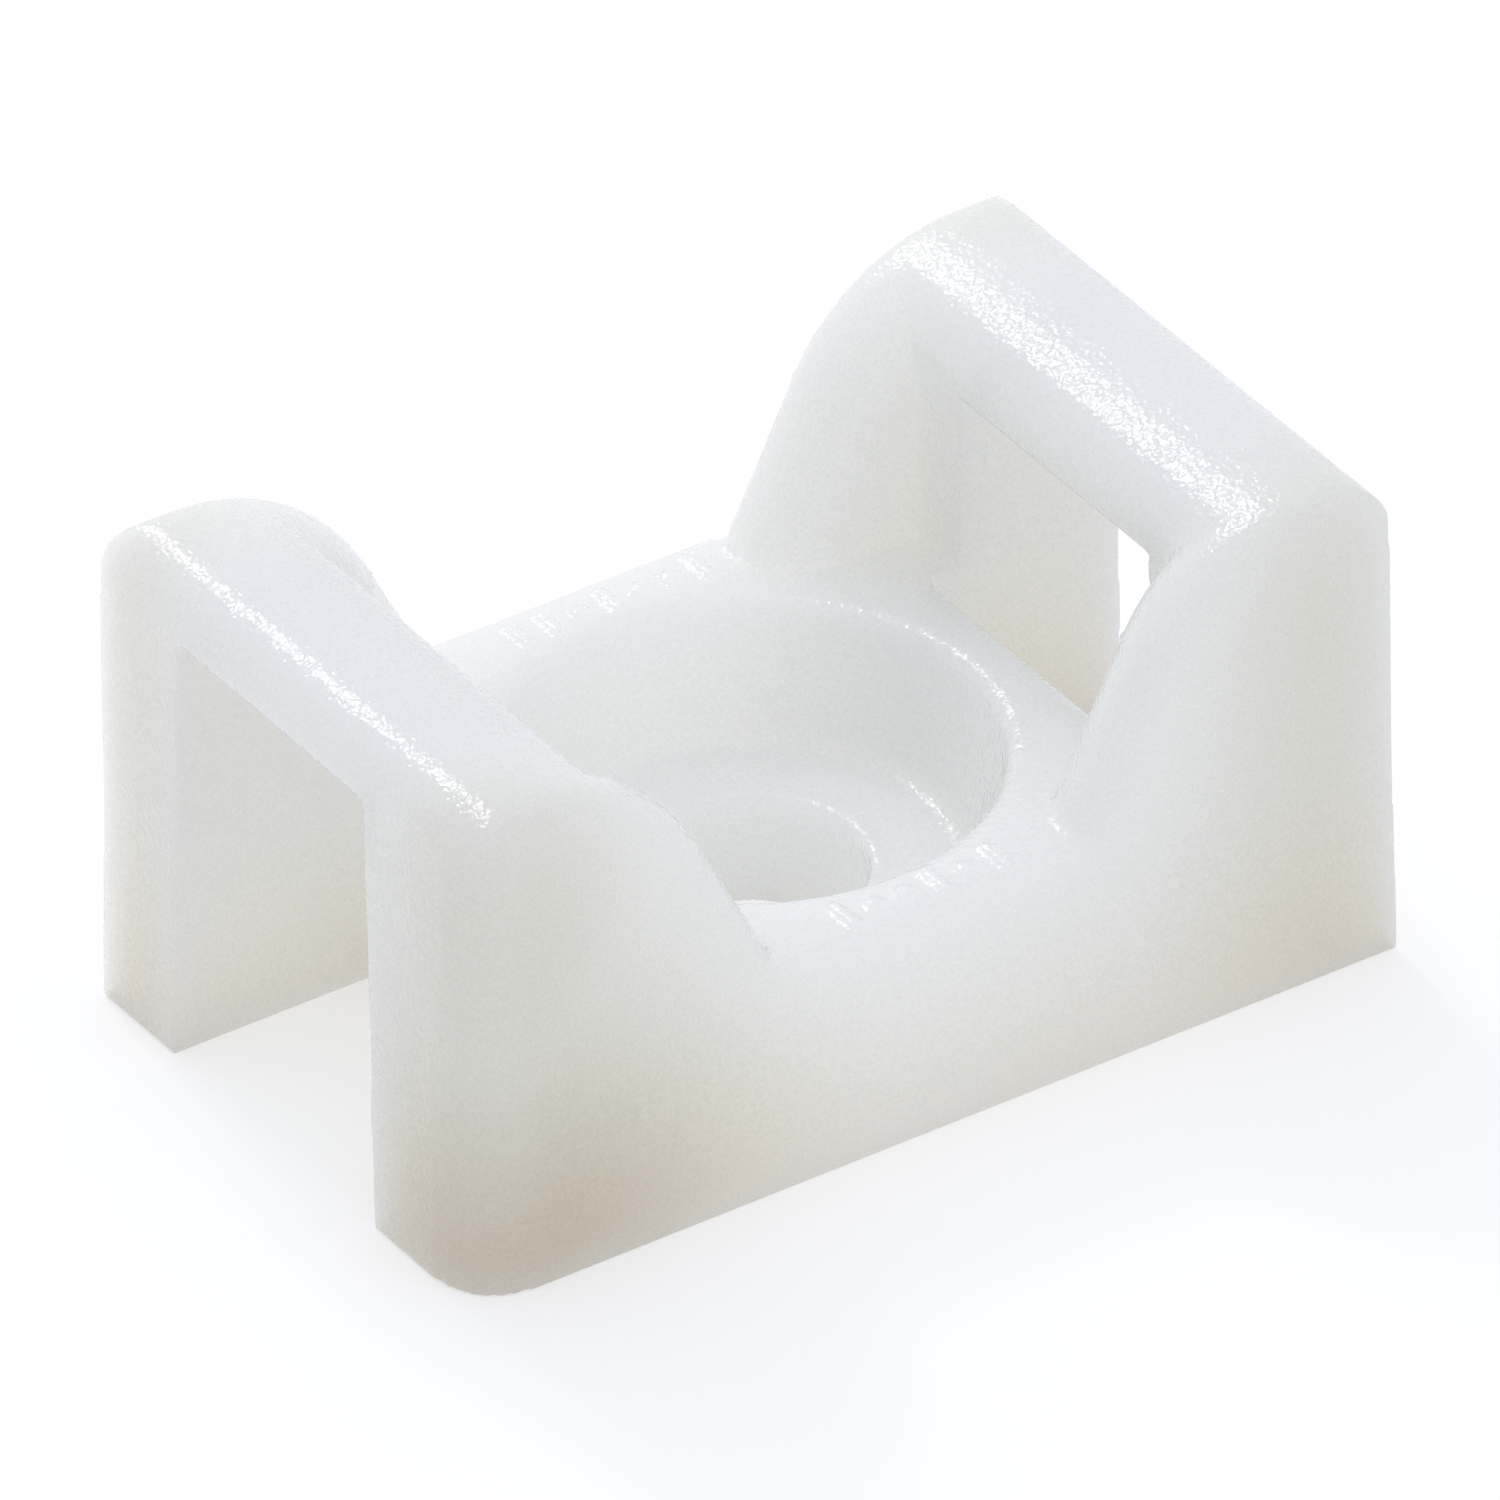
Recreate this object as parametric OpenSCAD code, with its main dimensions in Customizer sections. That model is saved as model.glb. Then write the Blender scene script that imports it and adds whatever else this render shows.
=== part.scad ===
// Cable tie mount: a one-piece moulded nylon cradle. One screw holds it down, a flat
// cable tie passes through the two end bars, and the bundle lies in the saddle between
// them. +X runs along the tie, +Z is up, and the origin is the centre of the underside.

/* [Body] */
// Overall length at the underside
body_l = 15.9; // [15.2:0.1:17]
// Overall width at the underside
body_w = 9.6; // [9.2:0.1:11]
// Height of the end bars
body_h = 8.1; // [7.8:0.1:8.8]
// Height of the deck that the bundle rests on
deck_h = 3.85; // [3.4:0.05:4.2]
// Draft of the outer faces, in degrees
body_draft = 0.7; // [0.3:0.1:1.5]
// Radius of the one heavy upright edge at each end
corner_r = 0.95; // [0.5:0.05:1.3]

/* [Saddle] */
// Gap between the feet of the two humps, at deck height
saddle_l = 5.15; // [4.6:0.05:5.6]
// Slope of the hump's flank above the deck, in degrees
flank_angle = 63; // [56:1:68]
// Radius of the hump's crown
crown_r = 3.3; // [2.8:0.1:3.6]
// Thickness of the side walls above the deck
wall_t = 1.55; // [1.4:0.05:1.8]
// Radius of the walls' outer edges, from foot to end
edge_r = 0.45; // [0.2:0.05:0.5]
// Radius of the walls' inner edges, from foot to bar
wall_lip_r = 1; // [0.4:0.05:1]
// Radius of each bar's inner top edge
lip_r = 0.9; // [0.5:0.05:0.9]
// Radius between the deck and the foot of each hump
foot_r = 0.2; // [0.1:0.05:0.3]
// Radius inside the channel's upright corners
channel_corner_r = 0.25; // [0.1:0.05:0.4]
// Radius where the top turns down to the end faces
end_r = 0.8; // [0.4:0.05:0.9]

/* [Tie slots] */
// Length of each end bar along the tie, at the underside
bar_l = 2.9; // [2.6:0.05:3.2]
// Gap between the end of the deck and the bar, through which the tie comes up
throat = 0.475; // [0.3:0.025:0.8]
// Width of the tie slot at the underside
slot_w = 5.2; // [4.9:0.05:5.5]
// Height of the bar's underside at its inner face
slot_h = 6.8; // [6.5:0.05:6.9]
// How much the underside rises towards the end, to lead the tie up
slot_rise = 0.4; // [0:0.05:0.45]
// How far each slot sits off the centre line
slot_shift = 0.35; // [0:0.05:0.5]
// Draft of the slot's sides, in degrees
slot_draft = 1.8; // [0.5:0.1:2.5]
// Radius of the deck's end edge under the tie
deck_edge_r = 0.2; // [0.1:0.05:0.3]

/* [Screw seat] */
// Diameter of the screw hole
screw_d = 3.5; // [3:0.1:4]
// Thickness of the floor under the screw head
floor_t = 1.85; // [1.4:0.05:2.2]
// Diameter of the seat's floor
seat_floor_d = 6.3; // [5.6:0.1:6.6]
// Diameter of the seat at deck height
seat_top_d = 7.5; // [7:0.1:7.8]
// Radius round the seat's rim
rim_r = 0.25; // [0.1:0.05:0.3]
// Radius round the seat's floor
floor_r = 0.35; // [0.1:0.05:0.5]

/* [Hidden] */

natural_nylon = [0.89, 0.9, 0.89];
over = 1;
side_in = deck_h * tan(body_draft);
side_y = body_w / 2 - side_in;
inner_y = side_y - wall_t;
foot_x = saddle_l / 2;
jamb_x = body_l / 2 - bar_l;
deck_end = jamb_x - throat;
crown_z = body_h - crown_r;
crown_x = foot_x + (crown_r - (crown_r - (body_h - deck_h)) * cos(flank_angle)) / sin(flank_angle);
flank_top_x = crown_x - crown_r * sin(flank_angle);
flank_top_z = crown_z + crown_r * cos(flank_angle);
lip_x = jamb_x + lip_r;
lip_z = crown_z + sqrt(pow(crown_r - lip_r, 2) - pow(crown_x - lip_x, 2));

// Outer end face at a given height
function end_x(z) = body_l / 2 - z * tan(body_draft);

// One side of the tie slot at a given height: side is 1 or -1
function slot_y(side, z) = side * (slot_w / 2 - z * tan(slot_draft)) - slot_shift;

// Unit vector from one point to another
function unit(from, to) = (to - from) / norm(to - from);

// The waste between a sharp corner and the arc that rounds it. The two edges leave the
// corner along the unit vectors a and b.
module corner_waste(corner, a, b, r) {
    half = acos(a * b) / 2;
    centre = corner + unit([0, 0], a + b) * r / sin(half);
    on_a = corner + a * r / tan(half);
    on_b = corner + b * r / tan(half);
    out_a = unit(centre, on_a) * over;
    out_b = unit(centre, on_b) * over;
    difference() {
        polygon([on_a + out_a, corner + (out_a + out_b) / (1 - cos(2 * half)), on_b + out_b, centre]);
        translate(centre) circle(r, $fn = 96);
    }
}

// Stands an XZ outline up and runs it across the width, from y0 to y1
module across(y0, y1) {
    translate([0, y1, 0]) rotate([90, 0, 0]) linear_extrude(y1 - y0) children();
}

// Stands a YZ outline up and runs it along the length, from x0 to x1
module along(x0, x1) {
    translate([x0, 0, 0]) rotate([90, 0, 90]) linear_extrude(x1 - x0) children();
}

// End view of the outside: drafted to the deck and upright above it
module end_view() {
    polygon([[-body_w / 2, 0], [body_w / 2, 0], [side_y, deck_h], [side_y, body_h],
             [-side_y, body_h], [-side_y, deck_h]]);
}

// Side view of the whole outside: the deck between two humps, each a straight flank
// that runs into a round crown and turns down to the end face
module side_view() {
    top_corner = [end_x(body_h), body_h];
    for (turn = [0, 1]) mirror([turn, 0])
        difference() {
            union() {
                polygon([[0, 0], [body_l / 2, 0], top_corner, [crown_x, body_h], [crown_x, crown_z],
                         [flank_top_x, flank_top_z], [foot_x, deck_h], [0, deck_h]]);
                intersection() {
                    translate([crown_x, crown_z]) circle(crown_r, $fn = 192);
                    square([crown_x, body_h]);
                }
                corner_waste([foot_x, deck_h], [-1, 0],
                             unit([foot_x, deck_h], [flank_top_x, flank_top_z]), foot_r);
            }
            corner_waste(top_corner, [-1, 0], unit(top_corner, [body_l / 2, 0]), end_r);
        }
}

// Side view of what the rounded lip of each bar leaves open
module lip_view() {
    lip_tangent = unit([crown_x, crown_z], [lip_x, lip_z]);
    for (turn = [0, 1]) mirror([turn, 0])
        difference() {
            polygon([[lip_x, lip_z], [jamb_x - over, lip_z], [jamb_x - over, body_h + over],
                     [lip_x, lip_z] + lip_tangent * (lip_r + over)]);
            translate([lip_x, lip_z]) circle(lip_r, $fn = 96);
        }
}

// The waste along the edge where a wall's side meets the hump's outline, from the foot to
// past the end face. The side stands at y and faces +Y where out is 1, and -Y where it is -1.
module hump_edge(y, out, r) {
    flank_l = norm([flank_top_x - foot_x, flank_top_z - deck_h]);
    translate([foot_x, 0, deck_h]) rotate([0, 90 - flank_angle, 0])
        linear_extrude(flank_l) corner_waste([0, y], [1, 0], [0, -out], r);
    translate([crown_x, 0, crown_z]) rotate([90, 0, 0]) rotate([0, 0, 90])
        rotate_extrude(angle = flank_angle, $fn = 192) corner_waste([crown_r, y], [-1, 0], [0, -out], r);
    translate([crown_x, 0, body_h]) rotate([0, 90, 0])
        linear_extrude(body_l) corner_waste([0, y], [1, 0], [0, -out], r);
}

// The channel that the tie and the bundle lie in: upright walls with rounded lips
module channel() {
    translate([0, 0, deck_h]) linear_extrude(body_h) difference() {
        square([2 * jamb_x, 2 * inner_y], center = true);
        for (end = [-1, 1], side = [-1, 1])
            corner_waste([end * jamb_x, side * inner_y], [-end, 0], [0, -side], channel_corner_r);
    }
    across(-inner_y, inner_y) lip_view();
    intersection() {
        across(-side_y, side_y) {
            translate([-jamb_x, deck_h]) square([2 * jamb_x, body_h]);
            lip_view();
        }
        for (end = [0, 1], side = [0, 1])
            mirror([end, 0, 0]) mirror([0, side, 0]) hump_edge(inner_y, -1, wall_lip_r);
    }
}

// The space the tie runs through: open below and at the end, closed above by the bar,
// whose underside rises towards the end
module tie_slot() {
    roof_z = slot_h + slot_rise * (body_l - jamb_x) / bar_l;
    intersection() {
        along(deck_end, body_l)
            polygon([[slot_y(-1, -over), -over], [slot_y(1, -over), -over],
                     [slot_y(1, roof_z), roof_z], [slot_y(-1, roof_z), roof_z]]);
        across(-body_w, body_w)
            polygon([[0, -2 * over], [2 * body_l, -2 * over], [2 * body_l, roof_z], [body_l, roof_z],
                     [jamb_x, slot_h], [0, slot_h]]);
    }
    across(slot_y(-1, slot_h), slot_y(1, slot_h))
        corner_waste([deck_end, deck_h], [-1, 0], [0, -1], deck_edge_r);
}

// The screw hole with the conical seat that sinks the screw's head below the deck
module screw_seat() {
    floor_corner = [seat_floor_d / 2, floor_t];
    rim_corner = [seat_top_d / 2, deck_h];
    up_wall = unit(floor_corner, rim_corner);
    rotate_extrude($fn = 192) {
        translate([0, -over]) square([screw_d / 2, body_h + over]);
        difference() {
            polygon([[0, floor_t], floor_corner, rim_corner, rim_corner + [0, over], [0, deck_h + over]]);
            corner_waste(floor_corner, [-1, 0], up_wall, floor_r);
        }
        corner_waste(rim_corner, [1, 0], -up_wall, rim_r);
    }
}

// The upright edge that carries the heavy radius, at the end whose leg is the thicker
module heavy_edge() {
    mid_height_corner = [end_x(body_h / 2), side_y + side_in / 2];
    translate([0, 0, -over]) linear_extrude(body_h + 2 * over)
        corner_waste(mid_height_corner, [-1, 0], [0, -1], corner_r);
}

module mount_body() {
    color(natural_nylon)
    difference() {
        intersection() {
            across(-body_w, body_w) side_view();
            along(-body_l, body_l) end_view();
        }
        channel();
        for (turn = [0, 180]) rotate([0, 0, turn]) {
            tie_slot();
            heavy_edge();
        }
        for (end = [0, 1], side = [0, 1])
            mirror([end, 0, 0]) mirror([0, side, 0]) hump_edge(side_y, 1, edge_r);
        screw_seat();
    }
}

mount_body();
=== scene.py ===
"""Cable tie mount: a one-piece cradle moulded in natural nylon.

The form is the CAD solid's, given the soft edges, moulded marks and milky skin of the real
thing. Sizes are in millimetres in the CAD's frame (+X along the tie, +Z up, origin at the
centre of the underside), and the studio round it is in metres.
"""

import logging
import math
from dataclasses import dataclass, field
from enum import Enum
from typing import Any

import bpy
from mathutils import Matrix, Vector

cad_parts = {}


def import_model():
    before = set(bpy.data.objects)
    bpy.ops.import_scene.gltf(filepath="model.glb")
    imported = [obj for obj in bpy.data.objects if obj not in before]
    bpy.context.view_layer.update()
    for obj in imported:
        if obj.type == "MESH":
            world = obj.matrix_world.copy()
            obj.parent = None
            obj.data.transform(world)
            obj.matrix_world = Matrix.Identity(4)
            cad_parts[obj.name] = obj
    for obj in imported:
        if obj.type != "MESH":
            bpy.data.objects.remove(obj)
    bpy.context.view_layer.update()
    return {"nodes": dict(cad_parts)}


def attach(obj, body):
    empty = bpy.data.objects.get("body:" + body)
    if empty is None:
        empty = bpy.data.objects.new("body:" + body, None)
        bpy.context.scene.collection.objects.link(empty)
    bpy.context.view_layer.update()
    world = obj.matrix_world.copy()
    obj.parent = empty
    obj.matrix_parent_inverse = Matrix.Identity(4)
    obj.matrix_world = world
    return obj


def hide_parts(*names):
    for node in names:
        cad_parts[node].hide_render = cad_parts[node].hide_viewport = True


LOG = logging.getLogger("cable_tie_mount")
MM = 0.001
NODE = "mount_body"


class Side(Enum):
    """The two sides of the mount, by the sign of their Y."""

    NEAR = -1
    FAR = 1


class Mark(Enum):
    """The plain raised marks that the deck carries."""

    BAR = "bar"
    PIP = "pip"


def linear(hex_colour: str) -> tuple[float, float, float, float]:
    """Turns an sRGB hex colour into linear light.

    Args:
        hex_colour: Six hex digits after a hash sign.

    Returns:
        Red, green, blue and an alpha of 1.
    """
    parts = [int(hex_colour[i : i + 2], 16) / 255 for i in (1, 3, 5)]
    light = [p / 12.92 if p <= 0.04045 else ((p + 0.055) / 1.055) ** 2.4 for p in parts]
    return (light[0], light[1], light[2], 1.0)


def add_node(
    tree: bpy.types.NodeTree,
    kind: str,
    settings: dict[str, Any] | None = None,
    inputs: dict[str | int, Any] | None = None,
) -> bpy.types.Node:
    """Adds a node, sets it, and feeds its inputs with values or with other sockets.

    Args:
        tree: The node tree that takes the node.
        kind: The node's type name.
        settings: Values for the node's own properties.
        inputs: A value or an output socket for each input, by name or number.

    Returns:
        The new node.
    """
    node = tree.nodes.new(kind)
    for name, value in (settings or {}).items():
        setattr(node, name, value)
    for name, value in (inputs or {}).items():
        if isinstance(value, bpy.types.NodeSocket):
            tree.links.new(value, node.inputs[name])
        else:
            node.inputs[name].default_value = value
    return node


def seen_or_mirrored(tree: bpy.types.NodeTree) -> bpy.types.NodeSocket:
    """Adds the test for rays from the camera, or from a mirror or a clear piece in its view.

    Args:
        tree: The node tree of the floor or of the world.

    Returns:
        A factor, 1 for such rays and 0 for those that only carry light.
    """
    path = add_node(tree, "ShaderNodeLightPath").outputs
    mirrored = add_node(
        tree,
        "ShaderNodeMath",
        {"operation": "MAXIMUM"},
        {0: path["Is Glossy Ray"], 1: path["Is Transmission Ray"]},
    )
    either = add_node(
        tree,
        "ShaderNodeMath",
        {"operation": "MAXIMUM"},
        {0: path["Is Camera Ray"], 1: mirrored.outputs["Value"]},
    )
    return either.outputs["Value"]


def focus(piece: bpy.types.Object) -> None:
    """Makes one object the only one that operators act on.

    Args:
        piece: The object to select and make active.
    """
    bpy.ops.object.select_all(action="DESELECT")
    piece.select_set(True)
    bpy.context.view_layer.objects.active = piece


@dataclass
class Cradle:
    """The whole moulding: base, four humps and two end bars in one skin, in millimetres."""

    solid: bpy.types.Object
    deck_z: float = 3.85
    merge_gap: float = 0.001
    voxel: float = 0.055
    soften_passes: int = 2
    soften_factor: float = 0.5
    kept_share: float = 0.33
    mark_y: float = 4.24
    mark_pitch: float = 0.52
    mark_height: float = 0.07
    bar_size: tuple[float, float] = (0.13, 0.62)
    pip_radius: float = 0.13
    pip_sides: int = 24
    sink: float = 0.2
    round_share: float = 0.3
    # Where each row starts along the mount, and its marks in order
    rows: dict[Side, tuple[float, tuple[Mark, ...]]] = field(
        default_factory=lambda: {
            Side.FAR: (-1.1, (Mark.BAR, Mark.BAR, Mark.PIP, Mark.BAR, Mark.PIP, Mark.PIP, Mark.BAR)),
            Side.NEAR: (-1.2, (Mark.BAR, Mark.PIP, Mark.PIP, Mark.BAR, Mark.PIP, Mark.BAR)),
        }
    )

    def skin(self) -> bpy.types.Object:
        """Copies the CAD solid and merges its loose triangles into one closed mesh.

        Returns:
            The copy, in metres, with its place in its mesh.
        """
        focus(self.solid)
        body = self.solid.copy()
        body.data = self.solid.data.copy()
        bpy.context.collection.objects.link(body)
        body.name = body.data.name = "nylon_cradle"
        focus(body)
        bpy.ops.object.mode_set(mode="EDIT")
        bpy.ops.mesh.select_all(action="SELECT")
        bpy.ops.mesh.remove_doubles(threshold=self.merge_gap * MM)
        bpy.ops.object.mode_set(mode="OBJECT")
        return body

    def mark(self, kind: Mark, x: float, y: float) -> bpy.types.Object:
        """Adds one raised mark, sunk into the deck and rounded on top.

        Args:
            kind: A short bar across the strip, or a round pip.
            x: Where its middle stands along the mount.
            y: Where its middle stands across the mount.

        Returns:
            The mark, in metres, with its place in its mesh.
        """
        tall = self.mark_height + self.sink
        middle = Vector((x, y, self.deck_z + self.mark_height - tall / 2)) * MM
        bpy.ops.object.select_all(action="DESELECT")
        if kind is Mark.BAR:
            size = Vector((*self.bar_size, tall)) * MM
            bpy.ops.mesh.primitive_cube_add(size=1, location=middle, scale=size)
        else:
            bpy.ops.mesh.primitive_cylinder_add(
                vertices=self.pip_sides, radius=self.pip_radius * MM, depth=tall * MM, location=middle
            )
        bpy.ops.object.transform_apply(location=True, rotation=True, scale=True)
        bpy.ops.object.mode_set(mode="EDIT")
        bpy.ops.mesh.select_all(action="SELECT")
        bpy.ops.mesh.bevel(offset=self.round_share * self.mark_height * MM, segments=2, affect="EDGES")
        bpy.ops.object.mode_set(mode="OBJECT")
        return bpy.context.object

    def marks(self) -> list[bpy.types.Object]:
        """Adds the two rows of plain marks, one on each strip of deck beside the screw seat.

        Returns:
            The marks, each still an object of its own.
        """
        made = []
        for side, (start, row) in self.rows.items():
            for place, kind in enumerate(row):
                made.append(self.mark(kind, start + place * self.mark_pitch, side.value * self.mark_y))
        return made

    def apply(self, body: bpy.types.Object, name: str, kind: str, **settings: Any) -> None:
        """Adds a modifier with its settings and applies it.

        Args:
            body: The active object, which takes the modifier.
            name: What the modifier is called.
            kind: The modifier's type.
            **settings: Values for the modifier's own properties.
        """
        modifier = body.modifiers.new(name, kind)
        for setting, value in settings.items():
            setattr(modifier, setting, value)
        bpy.ops.object.modifier_apply(modifier=modifier.name)

    def build(self) -> bpy.types.Object:
        """Joins the marks to the skin, melts all into one mesh and softens its edges.

        Returns:
            The finished mesh, in metres, with its place in its mesh.
        """
        body = self.skin()
        marks = self.marks()
        focus(body)
        for mark in marks:
            mark.select_set(True)
        bpy.ops.object.join()
        self.apply(body, "Melt", "REMESH", mode="VOXEL", voxel_size=self.voxel * MM)
        self.apply(body, "Soften", "SMOOTH", factor=self.soften_factor, iterations=self.soften_passes)
        self.apply(body, "Thin", "DECIMATE", ratio=self.kept_share)
        bpy.ops.object.shade_smooth()
        return body


@dataclass(frozen=True)
class NaturalNylon:
    """Nylon 6/6 without pigment, injection moulded.

    It is milky and lets light wander through it for millimetres, so thin walls and hollows
    glow, and thick sections look deeper and warmer. That tone is also painted into the colour
    as shade: warmer towards the underside and darker in the legs. The tool left a satin skin
    with a fine grain, which sparkles in a highlight, and the resin has a fine speckle of its
    own. Grain and speckle are finer than a render shows, so both are drawn coarser, and the
    grain deeper.
    """

    body: str = "#F7F8F2"
    # Painted warm shade towards the underside, outside the screw seat
    painted_foot_shade: str = "#F5ECE0"
    # Painted shade, multiplied into the legs
    painted_leg_shade: str = "#CCC7BF"
    roughness: float = 0.15
    ior: float = 1.53
    scatter_mm: float = 6.0
    scatter_by_colour: tuple[float, float, float] = (1.0, 0.93, 0.82)
    grain_mm: float = 0.1
    grain_depth_mm: float = 0.024
    speckle_mm: float = 0.05
    speckle: float = 0.06
    # Heights and seat radii over which the painted warm shade fades in
    foot_shade_height_mm: tuple[float, float] = (4.2, -0.8)
    seat_radius_mm: tuple[float, float] = (3.9, 4.6)
    # X·Y areas, heights and share over which the painted leg shade fades in
    thick_leg_shade_mm2: tuple[float, float] = (2.0, 36.0)
    thick_leg_shade_height_mm: tuple[float, float] = (9.0, 0.0)
    leg_shade_mm2: tuple[float, float] = (14.0, 34.0)
    leg_shade_share: float = 0.55

    def material(self) -> bpy.types.Material:
        """Builds the finish.

        Returns:
            A node material that reads object coordinates.
        """
        made = bpy.data.materials.new("natural_nylon")
        made.use_nodes = True
        tree = made.node_tree
        tree.nodes.clear()
        place = add_node(tree, "ShaderNodeTexCoord").outputs["Object"]
        grain = add_node(
            tree,
            "ShaderNodeTexNoise",
            {},
            {"Vector": place, "Scale": 1 / (self.grain_mm * MM), "Detail": 1.0, "Roughness": 0.5},
        )
        bump = add_node(
            tree,
            "ShaderNodeBump",
            {},
            {"Height": grain.outputs["Fac"], "Strength": 1.0, "Distance": self.grain_depth_mm * MM},
        )
        skin = add_node(
            tree,
            "ShaderNodeBsdfPrincipled",
            {"subsurface_method": "RANDOM_WALK"},
            {
                "Base Color": self.colour(tree, place),
                "Roughness": self.roughness,
                "IOR": self.ior,
                "Subsurface Weight": 1.0,
                "Subsurface Radius": self.scatter_by_colour,
                "Subsurface Scale": self.scatter_mm * MM,
                "Normal": bump.outputs["Normal"],
            },
        )
        add_node(tree, "ShaderNodeOutputMaterial", {}, {"Surface": skin.outputs["BSDF"]})
        return made

    def colour(self, tree: bpy.types.NodeTree, place: bpy.types.NodeSocket) -> bpy.types.NodeSocket:
        """Makes the colour: the resin's milky tone with its speckle, and painted shade, warmer at the foot
        and darker in the legs, most in the thick ones.

        Args:
            tree: The material's node tree.
            place: Object coordinates.

        Returns:
            The colour.
        """
        # Painted warm shade, mixed in towards the underside
        foot = add_node(
            tree,
            "ShaderNodeMix",
            {"data_type": "RGBA"},
            {"Factor": self.painted_foot_shade_mask(tree, place), "A": linear(self.body), "B": linear(self.painted_foot_shade)},
        )
        # Painted shade, multiplied into the legs and darkest in the thick ones
        leg = add_node(
            tree,
            "ShaderNodeMix",
            {"data_type": "RGBA", "blend_type": "MULTIPLY"},
            {"Factor": self.painted_leg_shade_mask(tree, place), "A": foot.outputs["Result"], "B": linear(self.painted_leg_shade)},
        )
        speckle = add_node(
            tree,
            "ShaderNodeTexNoise",
            {},
            {"Vector": place, "Scale": 1 / (self.speckle_mm * MM), "Detail": 0.0},
        )
        share = add_node(
            tree,
            "ShaderNodeMapRange",
            {},
            {"Value": speckle.outputs["Fac"], "To Min": 1.0 - self.speckle, "To Max": 1.0 + self.speckle},
        )
        speckled = add_node(
            tree,
            "ShaderNodeVectorMath",
            {"operation": "SCALE"},
            {0: leg.outputs["Result"], "Scale": share.outputs["Result"]},
        )
        return speckled.outputs["Vector"]

    def painted_foot_shade_mask(self, tree: bpy.types.NodeTree, place: bpy.types.NodeSocket) -> bpy.types.NodeSocket:
        """Makes a mask of painted warm shade that grows towards the underside, outside the screw seat.

        Args:
            tree: The material's node tree.
            place: Object coordinates.

        Returns:
            The mask, from 0 to 1.
        """
        top, bottom = self.foot_shade_height_mm
        inner, outer = self.seat_radius_mm
        height = add_node(tree, "ShaderNodeSeparateXYZ", {}, {"Vector": place}).outputs["Z"]
        low = add_node(
            tree,
            "ShaderNodeMapRange",
            {"interpolation_type": "SMOOTHSTEP"},
            {"Value": height, "From Min": top * MM, "From Max": bottom * MM},
        )
        flat = add_node(
            tree, "ShaderNodeVectorMath", {"operation": "MULTIPLY"}, {0: place, 1: (1.0, 1.0, 0.0)}
        )
        radius = add_node(
            tree, "ShaderNodeVectorMath", {"operation": "LENGTH"}, {0: flat.outputs["Vector"]}
        )
        outside = add_node(
            tree,
            "ShaderNodeMapRange",
            {"interpolation_type": "SMOOTHSTEP"},
            {"Value": radius.outputs["Value"], "From Min": inner * MM, "From Max": outer * MM},
        )
        both = add_node(
            tree,
            "ShaderNodeMath",
            {"operation": "MULTIPLY"},
            {0: low.outputs["Result"], 1: outside.outputs["Result"]},
        )
        return both.outputs["Value"]

    def painted_leg_shade_mask(self, tree: bpy.types.NodeTree, place: bpy.types.NodeSocket) -> bpy.types.NodeSocket:
        """Makes a mask of painted shade on the four legs, darkest in the thick ones, with X and Y of one
        sign.

        Args:
            tree: The material's node tree.
            place: Object coordinates.

        Returns:
            The mask, from 0 to 1.
        """
        axes = add_node(tree, "ShaderNodeSeparateXYZ", {}, {"Vector": place}).outputs
        corner = add_node(tree, "ShaderNodeMath", {"operation": "MULTIPLY"}, {0: axes["X"], 1: axes["Y"]})
        outward = add_node(tree, "ShaderNodeMath", {"operation": "ABSOLUTE"}, {0: corner.outputs["Value"]})
        start, full = (area * MM**2 for area in self.leg_shade_mm2)
        leg_shade = add_node(
            tree,
            "ShaderNodeMapRange",
            {"interpolation_type": "SMOOTHSTEP"},
            {
                "Value": outward.outputs["Value"],
                "From Min": start,
                "From Max": full,
                "To Max": self.leg_shade_share,
            },
        )
        start, full = (area * MM**2 for area in self.thick_leg_shade_mm2)
        leg = add_node(
            tree,
            "ShaderNodeMapRange",
            {"interpolation_type": "SMOOTHSTEP"},
            {"Value": corner.outputs["Value"], "From Min": start, "From Max": full},
        )
        top, bottom = (height * MM for height in self.thick_leg_shade_height_mm)
        low = add_node(
            tree, "ShaderNodeMapRange", {}, {"Value": axes["Z"], "From Min": top, "From Max": bottom}
        )
        both = add_node(
            tree,
            "ShaderNodeMath",
            {"operation": "MULTIPLY"},
            {0: leg.outputs["Result"], 1: low.outputs["Result"]},
        )
        darkest_shade = add_node(
            tree,
            "ShaderNodeMath",
            {"operation": "MAXIMUM"},
            {0: both.outputs["Value"], 1: leg_shade.outputs["Result"]},
        )
        return darkest_shade.outputs["Value"]


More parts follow.
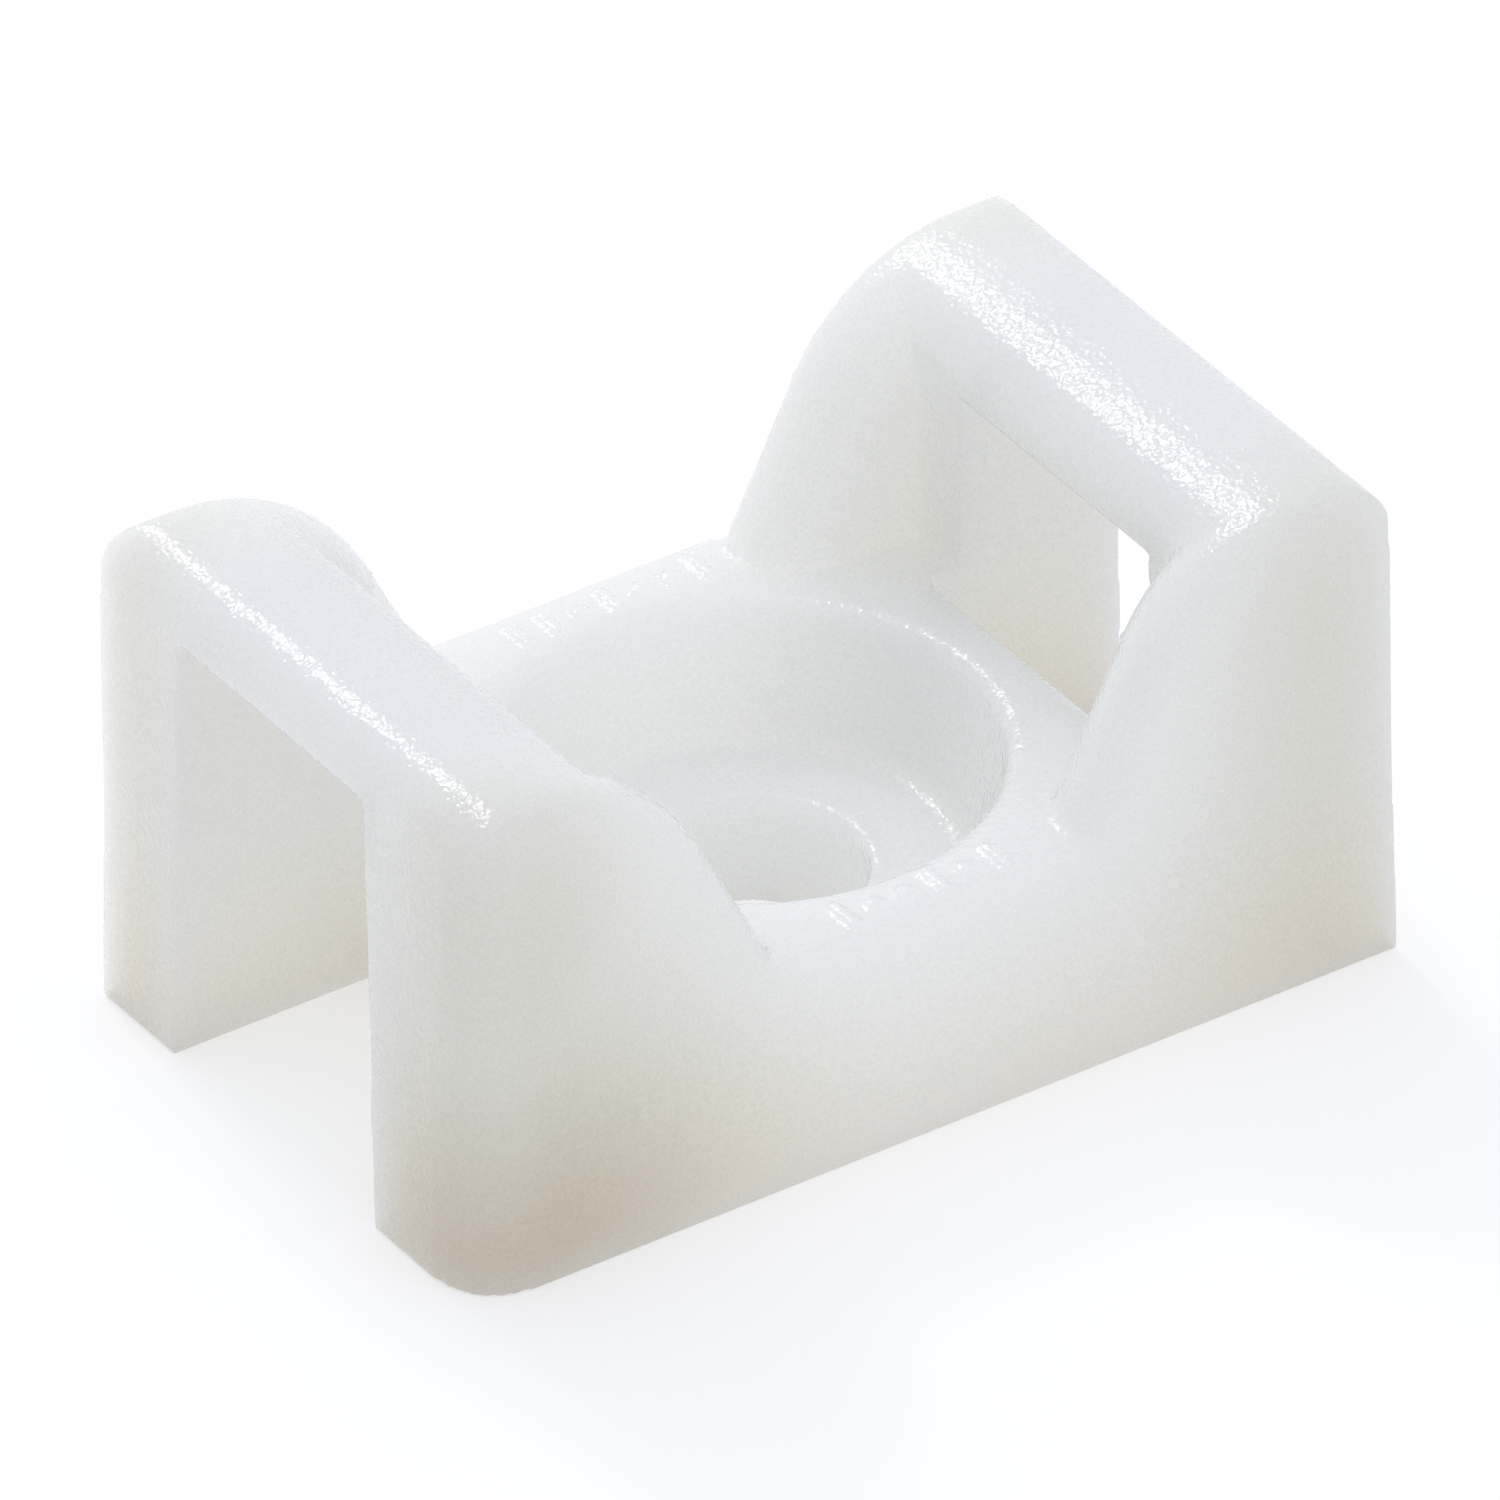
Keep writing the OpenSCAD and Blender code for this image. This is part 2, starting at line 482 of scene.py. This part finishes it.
@dataclass(frozen=True)
class Surround:
    """How brightly the surround lights the mount from each way, where 1 is white."""

    left: float = 0.12
    right: float = 0.25
    front: float = 0.72
    back: float = 0.95
    above: float = 1.06
    horizon: tuple[float, float, float, float] = (1.0, 0.995, 0.945, 1.0)
    zenith: tuple[float, float, float, float] = (0.94, 0.985, 1.12, 1.0)
    seen: float = 1.0

    def world(self) -> bpy.types.World:
        """Builds a world that lights by direction and shows as plain white.

        Returns:
            The world, which is not yet the scene's own.
        """
        world = bpy.data.worlds.new("white_surround")
        world.use_nodes = True
        tree = world.node_tree
        tree.nodes.clear()
        way = add_node(tree, "ShaderNodeTexCoord").outputs["Generated"]
        ahead = self.lobes(tree, way, "MAXIMUM", (self.right, self.back, self.above))
        behind = self.lobes(tree, way, "MINIMUM", (self.left, self.front, self.above))
        level = add_node(tree, "ShaderNodeMath", {"operation": "ADD"}, {0: ahead, 1: behind})
        rise = add_node(tree, "ShaderNodeSeparateXYZ", {}, {"Vector": way}).outputs["Z"]
        sky = add_node(
            tree,
            "ShaderNodeMix",
            {"data_type": "RGBA"},
            {"Factor": rise, "A": self.horizon, "B": self.zenith},
        )
        light = add_node(
            tree,
            "ShaderNodeBackground",
            {},
            {"Color": sky.outputs["Result"], "Strength": level.outputs["Value"]},
        )
        white = add_node(
            tree, "ShaderNodeBackground", {}, {"Color": (1.0, 1.0, 1.0, 1.0), "Strength": self.seen}
        )
        both = add_node(
            tree,
            "ShaderNodeMixShader",
            {},
            {0: seen_or_mirrored(tree), 1: light.outputs["Background"], 2: white.outputs["Background"]},
        )
        add_node(tree, "ShaderNodeOutputWorld", {}, {"Surface": both.outputs["Shader"]})
        return world

    def lobes(
        self,
        tree: bpy.types.NodeTree,
        way: bpy.types.NodeSocket,
        half: str,
        levels: tuple[float, float, float],
    ) -> bpy.types.NodeSocket:
        """Adds up three soft lobes, one along each axis, on one side of zero.

        Args:
            tree: The world's node tree.
            way: The direction that is looked in.
            half: MAXIMUM for the three positive directions and MINIMUM for the negative ones.
            levels: How bright each lobe is, along X, Y and Z.

        Returns:
            The brightness that the three lobes give together.
        """
        kind = "ShaderNodeVectorMath"
        part = add_node(tree, kind, {"operation": half}, {0: way, 1: (0.0, 0.0, 0.0)}).outputs[0]
        square = add_node(tree, kind, {"operation": "MULTIPLY"}, {0: part, 1: part}).outputs[0]
        total = add_node(tree, kind, {"operation": "DOT_PRODUCT"}, {0: square, 1: levels})
        return total.outputs["Value"]


@dataclass(frozen=True)
class Lamp:
    """A rectangular soft lamp that faces the mount."""

    name: str
    towards: tuple[float, float, float]
    size: tuple[float, float]
    power: float
    distance: float = 0.3

    def build(self, aim: Vector) -> None:
        """Adds the lamp, turned towards a point.

        Args:
            aim: The point that it faces, from which its direction and distance are taken.
        """
        towards = Vector(self.towards).normalized()
        turn = towards.to_track_quat("Z", "Y").to_euler()
        bpy.ops.object.light_add(type="AREA", location=aim + towards * self.distance, rotation=turn)
        lamp = bpy.context.object
        lamp.name = self.name
        lamp.data.shape = "RECTANGLE"
        lamp.data.size, lamp.data.size_y = self.size
        lamp.data.energy = self.power


@dataclass
class Studio:
    """A white floor, a white surround, a soft key lamp and the camera."""

    surround: Surround = field(default_factory=Surround)
    key: Lamp = Lamp("key", (0.04, 0.69, 0.72), (0.06, 0.08), 0.125)
    aim: Vector = field(default_factory=lambda: Vector((0, 0, 3.5 * MM)))
    azimuth: float = math.radians(-33.455)
    elevation: float = math.radians(34.575)
    roll: float = math.radians(-0.756)
    distance: float = 0.5252
    lens: float = 883.6
    sensor: float = 36.0
    shift: tuple[float, float] = (0.00137, 0.01289)
    clip: tuple[float, float] = (0.05, 20.0)
    floor_size: float = 2.0
    floor_drop: float = 0.02 * MM
    floor_colour: float = 0.6
    floor_glow: float = 0.35
    floor_shown: float = 0.5

    def camera(self) -> None:
        """Places the camera and makes it the scene's own."""
        sin_a, cos_a = math.sin(self.azimuth), math.cos(self.azimuth)
        sin_e, cos_e = math.sin(self.elevation), math.cos(self.elevation)
        back = Vector((sin_a * cos_e, -cos_a * cos_e, sin_e))
        right = Vector((cos_a, sin_a, 0))
        turn = Matrix((right, back.cross(right), back)).transposed() @ Matrix.Rotation(self.roll, 3, "Z")
        bpy.ops.object.camera_add(location=self.aim + back * self.distance, rotation=turn.to_euler())
        camera = bpy.context.object
        camera.data.lens = self.lens
        camera.data.sensor_width = self.sensor
        camera.data.shift_x, camera.data.shift_y = self.shift
        camera.data.clip_start, camera.data.clip_end = self.clip
        bpy.context.scene.camera = camera

    def floor(self) -> None:
        """Lays the white floor that takes the mount's faint shadow."""
        bpy.ops.object.select_all(action="DESELECT")
        bpy.ops.mesh.primitive_plane_add(size=self.floor_size, location=(0, 0, -self.floor_drop))
        floor = bpy.context.object
        floor.name = "floor"
        paper = bpy.data.materials.new("white_paper")
        paper.use_nodes = True
        tree = paper.node_tree
        tree.nodes.clear()
        grey = (self.floor_colour,) * 3 + (1.0,)
        matt = add_node(tree, "ShaderNodeBsdfDiffuse", {}, {"Color": grey})
        lift = add_node(
            tree,
            "ShaderNodeMapRange",
            {},
            {"Value": seen_or_mirrored(tree), "To Min": self.floor_glow, "To Max": self.floor_shown},
        )
        glow = add_node(tree, "ShaderNodeEmission", {}, {"Strength": lift.outputs["Result"]})
        both = add_node(
            tree, "ShaderNodeAddShader", {}, {0: matt.outputs["BSDF"], 1: glow.outputs["Emission"]}
        )
        add_node(tree, "ShaderNodeOutputMaterial", {}, {"Surface": both.outputs["Shader"]})
        floor.data.materials.append(paper)

    def build(self) -> None:
        """Sets the whole studio up."""
        bpy.context.scene.view_settings.view_transform = "Standard"
        bpy.context.scene.world = self.surround.world()
        self.camera()
        self.floor()
        self.key.build(self.aim)


def main() -> None:
    """Builds the mount and its studio."""
    logging.basicConfig(level=logging.INFO)
    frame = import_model()
    Studio().build()
    body = Cradle(frame["nodes"][NODE]).build()
    body.data.materials.clear()
    body.data.materials.append(NaturalNylon().material())
    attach(body, "root")
    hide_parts(NODE)
    LOG.info("%s: %d faces", body.name, len(body.data.polygons))


if __name__ == "__main__":
    main()
